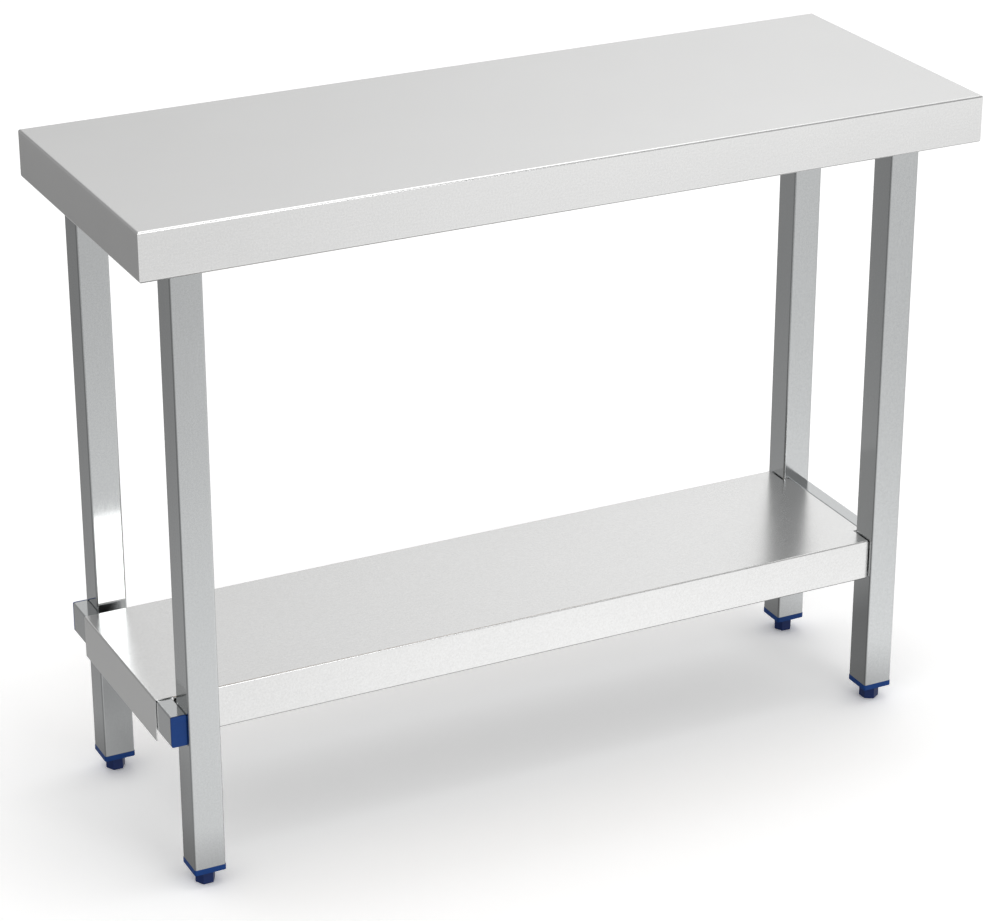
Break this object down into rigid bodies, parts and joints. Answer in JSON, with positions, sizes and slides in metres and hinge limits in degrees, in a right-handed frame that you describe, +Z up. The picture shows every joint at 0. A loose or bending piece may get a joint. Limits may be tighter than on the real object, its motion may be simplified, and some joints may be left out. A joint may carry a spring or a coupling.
{
  "type": "work table",
  "caption": "Folding stainless steel work table: flat folded-edge top, square tube legs with blue screw feet, and a lift-off lower shelf hooked over a side rail.",
  "frame": {"origin": "on the floor, under the centre of the worktop", "axes": "+X along the table towards the narrow pair of legs, +Y towards the back, +Z up"},
  "size_m": [1.1, 0.4, 0.857],
  "materials": {
    "worktop_steel": "satin stainless sheet",
    "shelf_steel": "satin stainless sheet",
    "tube_steel": "polished stainless tube",
    "bracket_steel": "plain pressed steel",
    "fastener_steel": "zinc plated",
    "stem_steel": "zinc plated thread",
    "blue_plastic": "moulded, slightly satin",
    "board": "sealed particle board"
  },
  "bodies": {
    "table": {"worktop_skin": "worktop_steel", "worktop_board": "board", "left_front_hinge_bracket": "bracket_steel", "left_front_screw_a": "fastener_steel", "left_front_screw_b": "fastener_steel", "left_front_pivot_bolt": "fastener_steel", "left_front_lock_nut": "fastener_steel", "left_front_leg": "tube_steel", "left_front_foot_plug": "blue_plastic", "left_back_hinge_bracket": "bracket_steel", "left_back_screw_a": "fastener_steel", "left_back_screw_b": "fastener_steel", "left_back_pivot_bolt": "fastener_steel", "left_back_lock_nut": "fastener_steel", "left_back_leg": "tube_steel", "left_back_foot_plug": "blue_plastic", "right_front_hinge_bracket": "bracket_steel", "right_front_screw_a": "fastener_steel", "right_front_screw_b": "fastener_steel", "right_front_pivot_bolt": "fastener_steel", "right_front_lock_nut": "fastener_steel", "right_front_leg": "tube_steel", "right_front_foot_plug": "blue_plastic", "right_back_hinge_bracket": "bracket_steel", "right_back_screw_a": "fastener_steel", "right_back_screw_b": "fastener_steel", "right_back_pivot_bolt": "fastener_steel", "right_back_lock_nut": "fastener_steel", "right_back_leg": "tube_steel", "right_back_foot_plug": "blue_plastic", "left_rail": "tube_steel", "rail_cap_front": "blue_plastic", "rail_cap_back": "blue_plastic", "right_rail": "tube_steel", "shelf_ledge": "tube_steel"},
    "shelf": {"shelf": "shelf_steel", "shelf_stiffener": "shelf_steel"},
    "left_front_stem": {"left_front_stem": "stem_steel"},
    "left_front_foot": {"left_front_hex_foot": "blue_plastic"},
    "left_back_stem": {"left_back_stem": "stem_steel"},
    "left_back_foot": {"left_back_hex_foot": "blue_plastic"},
    "right_front_stem": {"right_front_stem": "stem_steel"},
    "right_front_foot": {"right_front_hex_foot": "blue_plastic"},
    "right_back_stem": {"right_back_stem": "stem_steel"},
    "right_back_foot": {"right_back_hex_foot": "blue_plastic"}
  },
  "joints": [
    {"name": "shelf_lift", "type": "slide", "parent": "table", "child": "shelf", "axis": [0, 0, 1], "range_m": [0, 0.12]},
    {"name": "left_front_stem_travel", "type": "slide", "parent": "table", "child": "left_front_stem", "axis": [0, 0, 1], "range_m": [-0.02, 0]},
    {"name": "left_front_foot_turn", "type": "hinge", "parent": "left_front_stem", "child": "left_front_foot", "pos_m": [-0.487, -0.156, 0.01], "axis": [0, 0, 1], "range_deg": [-4801, 0]},
    {"name": "left_back_stem_travel", "type": "slide", "parent": "table", "child": "left_back_stem", "axis": [0, 0, 1], "range_m": [-0.02, 0]},
    {"name": "left_back_foot_turn", "type": "hinge", "parent": "left_back_stem", "child": "left_back_foot", "pos_m": [-0.487, 0.156, 0.01], "axis": [0, 0, 1], "range_deg": [-4801, 0]},
    {"name": "right_front_stem_travel", "type": "slide", "parent": "table", "child": "right_front_stem", "axis": [0, 0, 1], "range_m": [-0.02, 0]},
    {"name": "right_front_foot_turn", "type": "hinge", "parent": "right_front_stem", "child": "right_front_foot", "pos_m": [0.487, -0.112, 0.01], "axis": [0, 0, 1], "range_deg": [-4801, 0]},
    {"name": "right_back_stem_travel", "type": "slide", "parent": "table", "child": "right_back_stem", "axis": [0, 0, 1], "range_m": [-0.02, 0]},
    {"name": "right_back_foot_turn", "type": "hinge", "parent": "right_back_stem", "child": "right_back_foot", "pos_m": [0.487, 0.112, 0.01], "axis": [0, 0, 1], "range_deg": [-4801, 0]}
  ],
  "couplings": [
    {"joint": "left_front_foot_turn", "follows": "left_front_stem_travel", "rad_per_m": 4188.8},
    {"joint": "left_back_foot_turn", "follows": "left_back_stem_travel", "rad_per_m": 4188.8},
    {"joint": "right_front_foot_turn", "follows": "right_front_stem_travel", "rad_per_m": 4188.8},
    {"joint": "right_back_foot_turn", "follows": "right_back_stem_travel", "rad_per_m": 4188.8}
  ]
}
